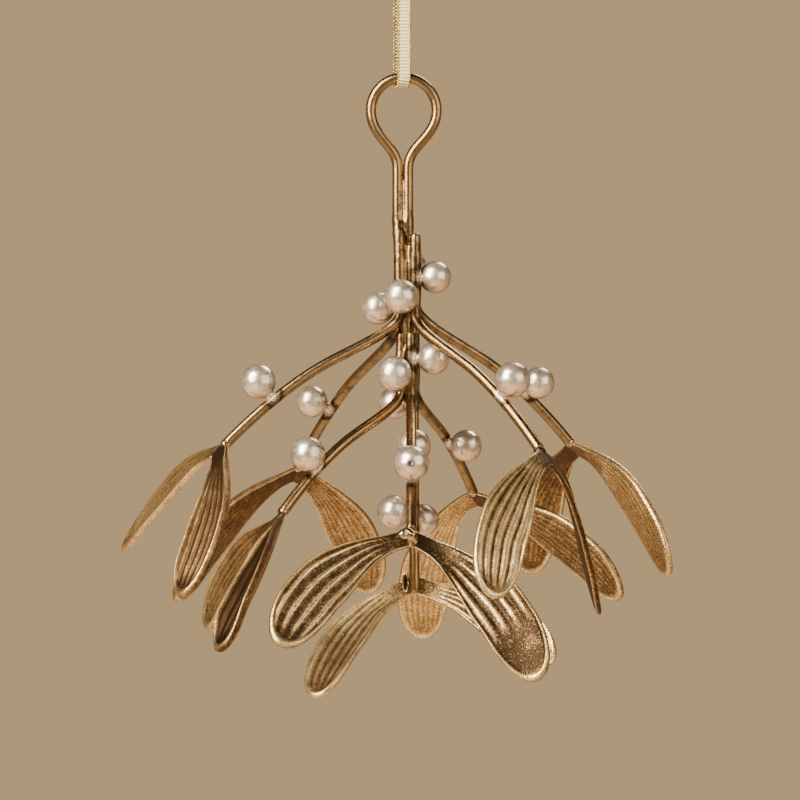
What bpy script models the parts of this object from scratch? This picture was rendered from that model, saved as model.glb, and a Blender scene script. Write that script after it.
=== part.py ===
"""Hanging mistletoe ornament.

Eight gold wires are brazed side by side into a short stem below a wire eye.
Four bend outwards at the upper node, three at the lower node and one runs
straight down. Each carries one stamped pair of leaves at its end, and pearl
berries sit on the stem and along the branches. A narrow ribbon through the
eye ends in a knot. Lengths are millimetres times MM, +Z is up, +Y is the back.
The origin is where a hook bears on the ribbon, between its two strands.
"""
import math

import bmesh
import bpy
from mathutils import Vector
from mathutils.geometry import interpolate_bezier

MM = 0.001
GAP = 0.3                      # clearance left between touching pieces

WIRE_RADIUS = 1.25             # every wire and the eye
EYE_TOP = -26.0                # centre of the eye's top wire
EYE_RADIUS = 7.9               # round part of the eye, at the wire's centre
EYE_WAIST = -47.8              # where the two legs meet
EYE_FLARE = (5.6, 6.6)         # pull of the curve at the waist and at the round part
QUARTER_ARC = 0.5523           # handle length that turns a Bezier piece into a quarter circle
LEG_LEFT_X, LEG_RIGHT_X = -1.5, 1.05
LEG_LEFT_END, LEG_RIGHT_END = -64.9, -66.4

STEM_X = 0.8                   # axis of the stem bundle, right of the ribbon
UPPER_NODE = -83.0
LOWER_NODE = -101.6
BEND_LEAD = 1.5                # straight run kept above each bend

# Shape of every branch's arch, as fractions of its reach and its drop.
SHOULDER = (0.45, 0.40)
BEND_HANDLE = (0.0, 0.12)
SHOULDER_HANDLES = ((0.25, 0.25), (0.63, 0.54))
END_HANDLE = (0.85, 0.79)

LEAF_CHORD = 45.0              # hub to tip
LEAF_THICKNESS = 1.2
NECK_HALF = 2.3                # half width of the strip at the hub
BLADE_HALF = 6.6               # half width of the leaf at its widest
CUP = 0.7                      # how far the rims stand proud of the middle
LEAF_TIP_HALF = 0.6            # half width of the blunt tip
WIDEST_FROM, ROUNDED_FROM = 0.08, 0.7   # where the leaf starts to widen and to round off
LEAF_BOW = 8.0                 # pull of the leaf's curve away from its chord, in its own plane
BOW_AT = 0.6                   # place of that pull along the chord
NECK_REACH = 11.0              # run of the strip on each side of the hub
NECK_DIP = 20                  # how far that run turns down towards the wire's direction
LEAF_ROWS, LEAF_COLUMNS = 13, 4

RIBBON_HALF_WIDTH = 1.55
RIBBON_THICKNESS = 0.35
RIBBON_CLEAR = WIRE_RADIUS + GAP + RIBBON_THICKNESS / 2   # strand's middle to the wire's middle
RIBBON_SAG = 0.45              # extra room under the eye, whose wire falls away on each side
RIBBON_STRAIGHT = 6.0          # height above the eye where the strands begin to lean together
RIBBON_TOP = -0.6              # both strands end here, below the knot
RIBBON_TOP_Y = 1.3             # half the distance between the strands at the knot
RIBBON_BACK_X, RIBBON_FRONT_X = -1.0, 0.1   # the back strand lies left of the front one
KNOT_HALF = (2.9, 2.3, 2.3)

# Seats are places in the bundle, measured from the stem's axis (x, y).
# top: cut upper end, bend: height where the wire leaves the bundle,
# azimuth: compass direction (0 = right, 90 = back), reach and drop: to its end.
BRANCHES = {
    "upper_left": dict(
        seat=(-1.8, -2.14), top=-65.4, bend=UPPER_NODE, azimuth=195, reach=42.5, drop=30.8),
    "upper_back_left": dict(
        seat=(-1.8, 2.14), top=-65.4, bend=UPPER_NODE - 1.4, azimuth=126, reach=42.5, drop=35.5),
    "upper_front_right": dict(
        seat=(1.95, -2.2), top=-63.4, bend=UPPER_NODE, azimuth=318, reach=39, drop=32),
    "upper_back_right": dict(
        seat=(2.1, 2.9), top=-63.4, bend=UPPER_NODE + 2.4, azimuth=28, reach=42.5, drop=33),
    "lower_left": dict(
        seat=(-1.45, -0.9), top=-87.0, bend=LOWER_NODE, azimuth=218, reach=35, drop=28),
    "lower_front": dict(
        seat=(0.95, -2.45), top=-87.0, bend=LOWER_NODE, azimuth=270, reach=34, drop=32),
    "lower_back": dict(
        seat=(1.8, 3.2), top=-87.0, bend=LOWER_NODE + 0.6, azimuth=64, reach=33, drop=25),
}
# Corners of the centre wire: x from the stem's axis, then y and z.
CENTRE_WIRE = ((0.6, 0.1, -66.9), (1.15, 0.38, -86.0), (1.6, 0.6, LOWER_NODE), (1.8, 0.6, -150.1))

# Each leaf: heading of its chord, how far the chord dips below level, and the
# direction its outer face looks (azimuth, elevation).
LEAF_PAIRS = {
    "upper_left": dict(size=1.0, left=(131, 33, 188, 25), right=(255, 48, 218, 20)),
    "upper_back_left": dict(size=1.0, left=(207, 44, 150, 20), right=(59, 43, 75, 20)),
    "upper_front_right": dict(size=1.0, left=(247, 45, 300, 15), right=(56, 57, 3, 10)),
    "upper_back_right": dict(size=1.0, left=(108, 45, 70, 20), right=(311, 42, 18, 12)),
    "lower_left": dict(size=1.0, left=(121, 37, 208, 20), right=(248, 41, 209, 12)),
    "lower_front": dict(size=1.0, left=(219, 32, 283, 30), right=(337, 46, 255, 15)),
    "lower_back": dict(size=1.0, left=(117, 53, 95, 15), right=(339, 33, 40, 20)),
    "centre": dict(size=0.9, left=(222, 40, 240, 20), right=(333, 28, 275, 25)),
}

# Each pearl: wire it sits on, its place there (a distance back from the wire's
# lower end, or a height where it is negative), the direction it sits in
# (azimuth, elevation) and its diameter.
PEARLS = {
    "stem_back": ("upper_back_right", -71.3, 102, 0, 7.8),
    "stem_right": ("upper_front_right", -74.0, 28, 0, 7.8),
    "stem_front": ("upper_left", -78.8, 273, 0, 8.3),
    "stem_left": ("upper_left", -81.4, 160, 0, 8.0),
    "lower_stem_right": ("lower_front", -93.5, 356, 0, 7.8),
    "lower_stem_front": ("lower_left", -97.2, 254, 0, 8.4),
    "lower_stem_back": ("centre", -104.1, 146.5, 0, 7.8),
    "centre_front": ("centre", -114.5, 270, 0, 8.2),
    "centre_left": ("centre", -130.3, 206, 0, 8.0),
    "centre_back": ("centre", -132.5, 68, 0, 7.8),
    "upper_left": ("upper_left", 15.4, 180, 50, 8.4),
    "upper_back_left": ("upper_back_left", 20, 197, 21, 7.8),
    "lower_left": ("lower_left", 13.2, 244, 46, 8.3),
    "lower_front": ("lower_front", 15, 270, 44, 8.4),
    "lower_back": ("lower_back", 18.9, 326, -12, 7.8),
    "upper_front_right": ("upper_front_right", 17, 318, 50, 8.4),
    "upper_back_right": ("upper_back_right", 17.7, 319, 23, 7.8),
}


def compass(azimuth, elevation=0.0):
    """Unit vector for a compass direction and an elevation, in degrees."""
    a, e = math.radians(azimuth), math.radians(elevation)
    return Vector((math.cos(e) * math.cos(a), math.cos(e) * math.sin(a), math.sin(e)))


def smooth(t):
    t = min(1.0, max(0.0, t))
    return t * t * (3.0 - 2.0 * t)


def make_material(name, colour, metallic, roughness):
    material = bpy.data.materials.new(name)
    material.use_nodes = True
    shader = material.node_tree.nodes["Principled BSDF"]
    shader.inputs["Base Color"].default_value = (*colour, 1.0)
    shader.inputs["Metallic"].default_value = metallic
    shader.inputs["Roughness"].default_value = roughness
    return material


def add_object(name, data, material):
    obj = bpy.data.objects.new(name, data)
    bpy.context.collection.objects.link(obj)
    data.materials.append(material)
    return obj


# ---------------------------------------------------------------- wires

def chain(*pieces):
    """Join Bezier pieces (point, handle, handle, point, steps) into one list of points."""
    points = [pieces[0][0]]
    for start, handle_out, handle_in, end, steps in pieces:
        points += interpolate_bezier(start, handle_out, handle_in, end, steps + 1)[1:]
    return points


def eye_route():
    """Left leg up, round the eye and down the right leg."""
    centre_z = EYE_TOP - EYE_RADIUS
    handle = QUARTER_ARC * EYE_RADIUS
    top = Vector((0, 0, EYE_TOP))
    points = [Vector((LEG_LEFT_X, 0, LEG_LEFT_END))]
    sides = []
    for sign, leg_x in ((-1, LEG_LEFT_X), (1, LEG_RIGHT_X)):
        waist = Vector((leg_x, 0, EYE_WAIST))
        side = Vector((sign * EYE_RADIUS, 0, centre_z))
        up = Vector((0, 0, 1))
        sides.append(chain(
            (waist, waist + up * EYE_FLARE[0], side - up * EYE_FLARE[1], side, 8),
            (side, side + up * handle, top + Vector((sign * handle, 0, 0)), top, 6)))
    points += sides[0] + list(reversed(sides[1]))[1:]
    points.append(Vector((LEG_RIGHT_X, 0, LEG_RIGHT_END)))
    return points


def branch_route(seat, top, bend, azimuth, reach, drop):
    """Straight down the bundle, out at the node, then a long arch to the end."""
    out, up = compass(azimuth), Vector((0, 0, 1))
    start = Vector((STEM_X + seat[0], seat[1], bend))

    def place(across, down):
        return start + out * across * reach - up * down * drop

    shoulder = place(*SHOULDER)
    rest = chain(
        (start, place(*BEND_HANDLE), place(*SHOULDER_HANDLES[0]), shoulder, 7),
        (shoulder, place(*SHOULDER_HANDLES[1]), place(*END_HANDLE), place(1, 1), 7))
    return [Vector((start.x, start.y, top)), start + up * BEND_LEAD] + rest


def centre_route():
    return [Vector((STEM_X + x, y, z)) for x, y, z in CENTRE_WIRE]


def add_wire(name, points, material):
    curve = bpy.data.curves.new(name, "CURVE")
    curve.dimensions = "3D"
    curve.bevel_depth = WIRE_RADIUS * MM
    curve.bevel_resolution = 2
    curve.use_fill_caps = True
    spline = curve.splines.new("POLY")
    spline.points.add(len(points) - 1)
    for spline_point, point in zip(spline.points, points):
        spline_point.co = (*(point * MM), 1.0)
    return add_object(name, curve, material)


def walk_back(points, distance):
    """Point and direction at a distance back from a route's lower end."""
    for end, start in zip(reversed(points), reversed(points[:-1])):
        step = (end - start).length
        if distance <= step:
            return end.lerp(start, distance / step), (end - start).normalized()
        distance -= step
    return points[0], (points[1] - points[0]).normalized()


def find_height(points, height):
    """Point and direction where a route passes a height."""
    for start, end in zip(points, points[1:]):
        if start.z >= height >= end.z:
            t = (start.z - height) / (start.z - end.z)
            return start.lerp(end, t), (end - start).normalized()
    raise ValueError("the wire does not reach that height")


# ---------------------------------------------------------------- leaves

def half_width(s, size):
    """Half width of the leaf at a fraction s of its length from the hub."""
    width = NECK_HALF + (BLADE_HALF - NECK_HALF) * smooth((s - WIDEST_FROM) / 0.5)
    if s > ROUNDED_FROM:
        width *= math.sqrt(max(0.0, 1.0 - ((s - ROUNDED_FROM) / (1.0 - ROUNDED_FROM)) ** 2.1))
    return size * max(width, LEAF_TIP_HALF)


def at_fraction(points, s):
    """Point and direction at a fraction s of the length of a line of points."""
    lengths = [(b - a).length for a, b in zip(points, points[1:])]
    left = s * sum(lengths)
    for start, end, length in zip(points, points[1:], lengths):
        if left <= length:
            break
        left -= length
    return start.lerp(end, min(1.0, left / length)), (end - start).normalized()


def add_leaf_pair(name, hub, wire_direction, pair, material):
    """One stamping: leaf, strip across the hub, leaf, all close to one plane."""
    size = pair["size"]
    chords, faces = [], []
    for heading, dip, face_azimuth, face_elevation in (pair["left"], pair["right"]):
        chords.append(compass(heading, -dip) * LEAF_CHORD * size)
        faces.append(compass(face_azimuth, face_elevation))
    across = chords[1] - chords[0]
    across = (across - wire_direction * across.dot(wire_direction)).normalized()
    hub_face = wire_direction.cross(across).normalized()
    if hub_face.dot(faces[0] + faces[1]) < 0:
        hub_face.negate()

    lines = []
    dip = math.radians(NECK_DIP)
    for sign, chord, face in zip((-1, 1), chords, faces):
        neck = (across * sign * math.cos(dip) + wire_direction * math.sin(dip)) * NECK_REACH * size
        arch = face.cross(chord).normalized() * LEAF_BOW * size
        if arch.dot(wire_direction) > 0:
            arch.negate()
        lines.append(interpolate_bezier(hub, hub + neck, hub + chord * BOW_AT + arch, hub + chord, 60))

    shape = bmesh.new()
    bmesh.ops.create_grid(shape, x_segments=2 * LEAF_ROWS, y_segments=LEAF_COLUMNS, size=1.0)
    for vertex in shape.verts:
        side = 0 if vertex.co.x < 0 else 1
        u = abs(vertex.co.x)
        s = 0.5 * (u + math.sin(u * math.pi / 2))
        centre, along = at_fraction(lines[side], s)
        if side == 0:
            along.negate()
        if u < 0.01:
            along = across.copy()
        face = hub_face.lerp(faces[side], smooth(s / 0.35))
        face = (face - along * face.dot(along)).normalized()
        width = half_width(s, size)
        rim = CUP * vertex.co.y ** 2 * smooth(s / 0.3) * width / BLADE_HALF
        vertex.co = (centre + face.cross(along) * vertex.co.y * width + face * rim) * MM
    bmesh.ops.recalc_face_normals(shape, faces=shape.faces)
    mesh = bpy.data.meshes.new(name)
    shape.to_mesh(mesh)
    shape.free()
    obj = add_object(name, mesh, material)
    wall = obj.modifiers.new("thickness", "SOLIDIFY")
    wall.thickness = LEAF_THICKNESS * MM
    wall.offset = 0.0
    wall.use_even_offset = True
    return obj


# ---------------------------------------------------------------- pearls

def add_pearl(name, route, place, azimuth, elevation, diameter, material):
    """A ball glued against the side of a wire."""
    foot, along = walk_back(route, place) if place > 0 else find_height(route, place)
    outward = compass(azimuth, elevation)
    outward = (outward - along * outward.dot(along)).normalized()
    centre = foot + outward * (diameter / 2 + WIRE_RADIUS + GAP)
    shape = bmesh.new()
    bmesh.ops.create_uvsphere(shape, u_segments=12, v_segments=8, radius=diameter / 2 * MM)
    mesh = bpy.data.meshes.new(name)
    shape.to_mesh(mesh)
    shape.free()
    obj = add_object(name, mesh, material)
    obj.location = centre * MM
    mesh.shade_smooth()
    return obj


# ---------------------------------------------------------------- ribbon

def ribbon_route():
    """Middle line: down the back strand, under the eye's wire, up the front strand."""
    points = [
        Vector((RIBBON_BACK_X, RIBBON_TOP_Y, RIBBON_TOP)),
        Vector((RIBBON_BACK_X, RIBBON_CLEAR, EYE_TOP + RIBBON_STRAIGHT)),
    ]
    for step in range(9):
        t = step / 8
        points.append(Vector((
            RIBBON_BACK_X + (RIBBON_FRONT_X - RIBBON_BACK_X) * t,
            RIBBON_CLEAR * math.cos(math.pi * t),
            EYE_TOP - (RIBBON_CLEAR + RIBBON_SAG) * math.sin(math.pi * t))))
    points += [
        Vector((RIBBON_FRONT_X, -RIBBON_CLEAR, EYE_TOP + RIBBON_STRAIGHT)),
        Vector((RIBBON_FRONT_X, -RIBBON_TOP_Y, RIBBON_TOP)),
    ]
    return points


def add_ribbon(name, material):
    """Flat strip: a rectangle pushed along the route, one extrusion a step."""
    points = ribbon_route()
    corners = ((-1, -1), (1, -1), (1, 1), (-1, 1))
    shape = bmesh.new()
    end_face = None
    for index, point in enumerate(points):
        before, after = points[max(index - 1, 0)], points[min(index + 1, len(points) - 1)]
        along = Vector((0, after.y - before.y, after.z - before.z)).normalized()
        thick = Vector((1, 0, 0)).cross(along) * RIBBON_THICKNESS / 2
        ring = [(point + Vector((RIBBON_HALF_WIDTH * a, 0, 0)) + thick * b) * MM for a, b in corners]
        if index == 0:
            end_face = shape.faces.new([shape.verts.new(corner) for corner in ring])
            continue
        grown = bmesh.ops.extrude_face_region(shape, geom=[end_face])["geom"]
        if index > 1:
            bmesh.ops.delete(shape, geom=[end_face], context="FACES_ONLY")
        end_face = next(item for item in grown if isinstance(item, bmesh.types.BMFace))
        for vertex, corner in zip(end_face.verts, ring):
            vertex.co = corner
    bmesh.ops.recalc_face_normals(shape, faces=shape.faces)
    mesh = bpy.data.meshes.new(name)
    shape.to_mesh(mesh)
    shape.free()
    return add_object(name, mesh, material)


def add_knot(name, material):
    """The two strands end in one tight knot above the hook."""
    shape = bmesh.new()
    bmesh.ops.create_uvsphere(shape, u_segments=12, v_segments=8, radius=MM)
    for vertex in shape.verts:
        vertex.co = Vector(c * h for c, h in zip(vertex.co, KNOT_HALF))
    mesh = bpy.data.meshes.new(name)
    shape.to_mesh(mesh)
    shape.free()
    obj = add_object(name, mesh, material)
    middle_x = (RIBBON_BACK_X + RIBBON_FRONT_X) / 2
    obj.location = Vector((middle_x, 0, RIBBON_TOP + GAP + KNOT_HALF[2])) * MM
    return obj


def main():
    for obj in list(bpy.data.objects):
        bpy.data.objects.remove(obj, do_unlink=True)

    gold_wire = make_material("foiled_gold_wire", (0.42, 0.27, 0.13), 1.0, 0.38)
    gold_leaf = make_material("foiled_gold_leaf", (0.36, 0.23, 0.10), 1.0, 0.42)
    pearl = make_material("pearl_paint", (0.80, 0.72, 0.62), 0.0, 0.35)
    woven = make_material("gold_edged_ribbon", (0.78, 0.70, 0.50), 0.0, 0.60)

    add_wire("hanging_eye", eye_route(), gold_wire)
    routes = {name: branch_route(**values) for name, values in BRANCHES.items()}
    routes["centre"] = centre_route()
    for name, route in routes.items():
        add_wire("wire_" + name, route, gold_wire)

    for name, pair in LEAF_PAIRS.items():
        end, direction = walk_back(routes[name], 0.0)
        if name == "centre":       # the strip lies behind the centre wire's cut end
            hub = end + Vector((0, WIRE_RADIUS + GAP + LEAF_THICKNESS / 2, NECK_HALF))
        else:
            hub = end + direction * (NECK_HALF + GAP)
        add_leaf_pair("leaf_pair_" + name, hub, direction, pair, gold_leaf)

    for name, (wire, place, azimuth, elevation, diameter) in PEARLS.items():
        add_pearl("pearl_" + name, routes[wire], place, azimuth, elevation, diameter, pearl)

    add_ribbon("ribbon", woven)
    add_knot("ribbon_knot", woven)


main()
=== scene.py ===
import math

import bmesh
import bpy
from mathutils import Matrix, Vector, noise
from mathutils.geometry import interpolate_bezier
from mathutils.kdtree import KDTree


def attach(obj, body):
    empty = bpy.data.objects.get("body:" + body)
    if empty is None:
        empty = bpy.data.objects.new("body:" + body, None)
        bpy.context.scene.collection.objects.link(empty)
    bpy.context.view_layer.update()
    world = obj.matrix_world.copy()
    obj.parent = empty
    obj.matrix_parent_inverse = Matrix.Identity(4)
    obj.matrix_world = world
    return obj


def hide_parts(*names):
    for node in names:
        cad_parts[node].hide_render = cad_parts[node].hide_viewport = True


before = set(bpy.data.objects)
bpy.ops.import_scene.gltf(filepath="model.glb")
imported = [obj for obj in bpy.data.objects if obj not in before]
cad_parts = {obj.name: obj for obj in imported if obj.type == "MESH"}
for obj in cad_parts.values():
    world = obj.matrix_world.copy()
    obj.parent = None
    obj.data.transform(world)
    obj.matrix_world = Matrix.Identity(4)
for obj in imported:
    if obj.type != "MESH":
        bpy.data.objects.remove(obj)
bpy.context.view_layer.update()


# everything below is modelled in millimetres and scaled once, in keepPiece

mm = 0.001
zAxis = Vector((0, 0, 1))
curvePoints = 40  # on each bezier span
weldGap = 0.002  # points closer than this become one
dentNoise = (0.6, 2.1, 3)  # how quickly finer dents fade, how much finer each layer is, how many layers
globNoise = (0.8, 2.0, 2)


def linearColour(hexText):
    channels = [int(hexText[i:i + 2], 16) / 255 for i in (1, 3, 5)]
    return (*[c / 12.92 if c <= 0.04045 else ((c + 0.055) / 1.055) ** 2.4 for c in channels], 1.0)


def smooth(t):
    t = min(1.0, max(0.0, t))
    return t * t * (3.0 - 2.0 * t)


def compass(azimuth, elevation=0.0):
    a, e = math.radians(azimuth), math.radians(elevation)
    return Vector((math.cos(e) * math.cos(a), math.cos(e) * math.sin(a), math.sin(e)))


def squareTo(vector, direction):
    # the part of a vector that is square to a direction, one unit long
    return (vector - direction * vector.dot(direction)).normalized()


def chain(*spans):
    # bezier spans end to end, each with its start, two handles and end
    points = [spans[0][0]]
    for start, handleOut, handleIn, end in spans:
        points += interpolate_bezier(start, handleOut, handleIn, end, curvePoints)[1:]
    return points


def lineLength(points):
    return sum((b - a).length for a, b in zip(points, points[1:]))


def evenSteps(points, step):
    # the same line with its points the same distance apart
    lengths = [(b - a).length for a, b in zip(points, points[1:])]
    count = max(2, round(sum(lengths) / step))
    spacing = sum(lengths) / count
    result, walked, target = [points[0].copy()], 0.0, spacing
    for start, end, length in zip(points, points[1:], lengths):
        while length and walked + length >= target - 1e-6 and len(result) < count:
            result.append(start.lerp(end, (target - walked) / length))
            target += spacing
        walked += length
    result.append(points[-1].copy())
    return result


def keepPiece(name, shape, materials, slotName, *nodes):
    bmesh.ops.scale(shape, vec=(mm, mm, mm), verts=shape.verts)
    mesh = bpy.data.meshes.new(name)
    shape.to_mesh(mesh)
    shape.free()
    mesh.shade_smooth()
    for material in materials:
        mesh.materials.append(material)
    piece = bpy.data.objects.new(name, mesh)
    bpy.context.collection.objects.link(piece)
    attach(piece, "root")
    if nodes:
        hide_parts(*nodes)
    return piece


def mergeInto(shape, part):
    # moves one bmesh into another, and gives the vertices that came with it
    known = set(shape.verts)
    mesh = bpy.data.meshes.new("part")
    part.to_mesh(mesh)
    part.free()
    shape.from_mesh(mesh)
    bpy.data.meshes.remove(mesh)
    return [vertex for vertex in shape.verts if vertex not in known]


def roundTube(points, radius, roundness=8, thinning=None):
    # a curve with a round bevel, turned into a closed bmesh
    curve = bpy.data.curves.new("tube", "CURVE")
    curve.dimensions = "3D"
    curve.bevel_depth = radius
    curve.bevel_resolution = roundness
    curve.use_fill_caps = True
    line = curve.splines.new("POLY")
    line.points.add(len(points) - 1)
    for i, point in enumerate(points):
        line.points[i].co = (*point, 1)
        line.points[i].radius = thinning[i] if thinning else 1
    holder = bpy.data.objects.new("tube", curve)
    shape = bmesh.new()
    shape.from_mesh(holder.to_mesh())
    holder.to_mesh_clear()
    bpy.data.objects.remove(holder)
    bmesh.ops.remove_doubles(shape, verts=shape.verts, dist=weldGap)
    bmesh.ops.recalc_face_normals(shape, faces=shape.faces)
    return shape


def roughen(shape, amount, scale, seed=0.0, stretch=1.0):
    # amount may be a number or a function of the vertex; stretch draws the dents out along Z
    shape.normal_update()
    moves = []
    for vertex in shape.verts:
        size = amount(vertex) if callable(amount) else amount
        place = Vector((vertex.co.x, vertex.co.y, vertex.co.z / stretch)) / scale
        push = noise.fractal(place + Vector((seed, seed, seed)), *dentNoise)
        moves.append(vertex.normal * size * push)
    for vertex, move in zip(shape.verts, moves):
        vertex.co += move


def newMaterial(name):
    material = bpy.data.materials.new(name)
    material.use_nodes = True
    tree = material.node_tree
    return material, tree, tree.nodes["Principled BSDF"]


def feed(tree, node, inputs):
    # each input takes a value, or the socket that feeds it
    for socket, value in inputs.items():
        if isinstance(value, bpy.types.NodeSocket):
            tree.links.new(value, node.inputs[socket])
        else:
            node.inputs[socket].default_value = value


def addNode(tree, kind, inputs=None, **settings):
    node = tree.nodes.new(kind)
    for name, value in settings.items():
        setattr(node, name, value)
    feed(tree, node, inputs or {})
    return node


def addMath(tree, operation, first, second, clamp=False):
    return addNode(tree, "ShaderNodeMath", {0: first, 1: second}, operation=operation, use_clamp=clamp).outputs[0]


def addRange(tree, value, source, target=(0, 1), kind="LINEAR"):
    # spreads one span of values over another, and holds them inside it
    inputs = {"Value": value, "From Min": source[0], "From Max": source[1], "To Min": target[0], "To Max": target[1]}
    return addNode(tree, "ShaderNodeMapRange", inputs, interpolation_type=kind).outputs[0]


def addNoise(tree, place, scale, detail, roughness=0.5):
    inputs = {"Vector": place, "Scale": scale, "Detail": detail, "Roughness": roughness}
    return addNode(tree, "ShaderNodeTexNoise", inputs).outputs[0]


def addMix(tree, amount, first, second):
    # each colour is a hex text or a socket
    first, second = [linearColour(c) if isinstance(c, str) else c for c in (first, second)]
    return addNode(tree, "ShaderNodeMix", {0: amount, 6: first, 7: second}, data_type="RGBA").outputs[2]


def addRamp(tree, value, *stops):
    node = addNode(tree, "ShaderNodeValToRGB", {0: value})
    elements = node.color_ramp.elements
    while len(elements) < len(stops):
        elements.new(0.5)
    for element, (position, colour) in zip(elements, stops):
        element.position = position
        element.color = linearColour(colour)
    return node.outputs[0]


def addBump(tree, height, strength, depth):
    return addNode(tree, "ShaderNodeBump", {"Strength": strength, "Distance": depth, "Height": height}).outputs[0]


def readLayer(tree, name):
    # the four values that a mesh carries in a colour layer
    layer = addNode(tree, "ShaderNodeAttribute", attribute_name=name)
    parts = addNode(tree, "ShaderNodeSeparateColor", {"Color": layer.outputs["Color"]}).outputs
    return parts["Red"], parts["Green"], parts["Blue"], layer.outputs["Alpha"]


def objectPlace(tree):
    return addNode(tree, "ShaderNodeTexCoord").outputs["Object"]


# camera: level with the middle of the ornament, looking along +Y

view = {"distance": 1.1, "x": -0.0009, "height": -0.1035, "lens": 206, "sensor": 36, "clip": (0.01, 20)}
eyeOfView = bpy.data.cameras.new("camera")
eyeOfView.lens = view["lens"]
eyeOfView.sensor_width = view["sensor"]
eyeOfView.clip_start, eyeOfView.clip_end = view["clip"]
camera = bpy.data.objects.new("camera", eyeOfView)
camera.location = (view["x"], -view["distance"], view["height"])
camera.rotation_euler = (math.radians(90), 0, 0)
bpy.context.collection.objects.link(camera)
bpy.context.scene.camera = camera


# routes: the same lines as the CAD solids

wireStock = {"radius": 1.25, "gap": 0.3, "step": 0.45}
eye = {  # each leg: where it runs and where it ends
    "top": -26.0, "radius": 7.9, "waist": -47.8, "flare": (5.6, 6.6), "quarterArc": 0.5523,
    "legs": ((-1.5, -64.9), (1.05, -66.4)),
}
stem = {"x": 0.8, "lead": 1.5}
arch = {  # how a branch bends: shares of its reach and its drop
    "bendHandle": (0.0, 0.12), "shoulder": (0.45, 0.40), "shoulderHandles": ((0.25, 0.25), (0.63, 0.54)),
    "endHandle": (0.85, 0.79),
}
branches = {  # seat beside the stem's middle, height of the cut top and of the bend, then where the branch goes
    "upper_left": dict(seat=(-1.8, -2.14), top=-65.4, bend=-83.0, azimuth=195, reach=42.5, drop=30.8),
    "upper_back_left": dict(seat=(-1.8, 2.14), top=-65.4, bend=-84.4, azimuth=126, reach=42.5, drop=35.5),
    "upper_front_right": dict(seat=(1.95, -2.2), top=-63.4, bend=-83.0, azimuth=318, reach=39, drop=32),
    "upper_back_right": dict(seat=(2.1, 2.9), top=-63.4, bend=-80.6, azimuth=28, reach=42.5, drop=33),
    "lower_left": dict(seat=(-1.45, -0.9), top=-87.0, bend=-101.6, azimuth=218, reach=35, drop=28),
    "lower_front": dict(seat=(0.95, -2.45), top=-87.0, bend=-101.6, azimuth=270, reach=34, drop=32),
    "lower_back": dict(seat=(1.8, 3.2), top=-87.0, bend=-101.0, azimuth=64, reach=33, drop=25),
}
centreWire = ((0.6, 0.1, -66.9), (1.15, 0.38, -86.0), (1.6, 0.6, -101.6), (1.8, 0.6, -150.1))


def eyeRoute():
    middle = eye["top"] - eye["radius"]
    handle = eye["quarterArc"] * eye["radius"]
    top = Vector((0, 0, eye["top"]))
    sides = []
    for sign, (legX, legEnd) in zip((-1, 1), eye["legs"]):
        foot = Vector((legX, 0, legEnd))
        waist = Vector((legX, 0, eye["waist"]))
        side = Vector((sign * eye["radius"], 0, middle))
        sides.append([foot] + chain(
            (waist, waist + zAxis * eye["flare"][0], side - zAxis * eye["flare"][1], side),
            (side, side + zAxis * handle, top + Vector((sign * handle, 0, 0)), top)))
    return sides[0] + list(reversed(sides[1]))[1:]


def branchRoute(seat, top, bend, azimuth, reach, drop):
    out = compass(azimuth)
    start = Vector((stem["x"] + seat[0], seat[1], bend))

    def place(across, down):
        return start + out * across * reach - zAxis * down * drop

    shoulder = place(*arch["shoulder"])
    rest = chain(
        (start, place(*arch["bendHandle"]), place(*arch["shoulderHandles"][0]), shoulder),
        (shoulder, place(*arch["shoulderHandles"][1]), place(*arch["endHandle"]), place(1, 1)))
    return [Vector((start.x, start.y, top)), start + zAxis * stem["lead"]] + rest


routes = {name: branchRoute(**values) for name, values in branches.items()}
routes["centre"] = [Vector((stem["x"] + x, y, z)) for x, y, z in centreWire]


def walkBack(points, distance):
    # the place this far back from a line's end, and the way the line runs there
    for end, start in zip(reversed(points), reversed(points[:-1])):
        step = (end - start).length
        if distance <= step:
            return end.lerp(start, distance / step), (end - start).normalized()
        distance -= step
    return points[0], (points[1] - points[0]).normalized()


def findHeight(points, height):
    # the place where a falling line passes a height, and the way it runs there
    for start, end in zip(points, points[1:]):
        if start.z >= height >= end.z:
            t = (start.z - height) / (start.z - end.z)
            return start.lerp(end, t), (end - start).normalized()


# materials

goldColours = {
    "pale": "#f5e2b2", "gold": "#c3a870", "brown": "#7d6544", "umber": "#382b1c", "deepShade": "#1d140c",
    "warmPale": "#e6cc98", "warmGold": "#bf9863", "warmBrown": "#86643d", "warmUmber": "#523a22",
    "wirePale": "#e6cea0", "wireBrown": "#92754d", "strayPaintAndGlint": "#e6d8cb",
}
pearlColours = {
    "sand": "#b9a48a", "cream": "#d7c9b2", "ivory": "#e9deca", "ash": "#b3a89b", "darkSpot": "#8f857c",
    "peach": "#dcb894", "hole": "#2a211b", "edge": "#80685a",
}
# groove to top: painted shade in the grooves up to a painted highlight on the rib tops
ribbonColours = {
    "groove": "#665a38", "flank": "#aa9b6c", "rib": "#d1c290", "top": "#ded1a4",
    "threadDark": "#8a6a22", "thread": "#cfa94e", "threadGlint": "#f0dc9a",
}


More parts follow.
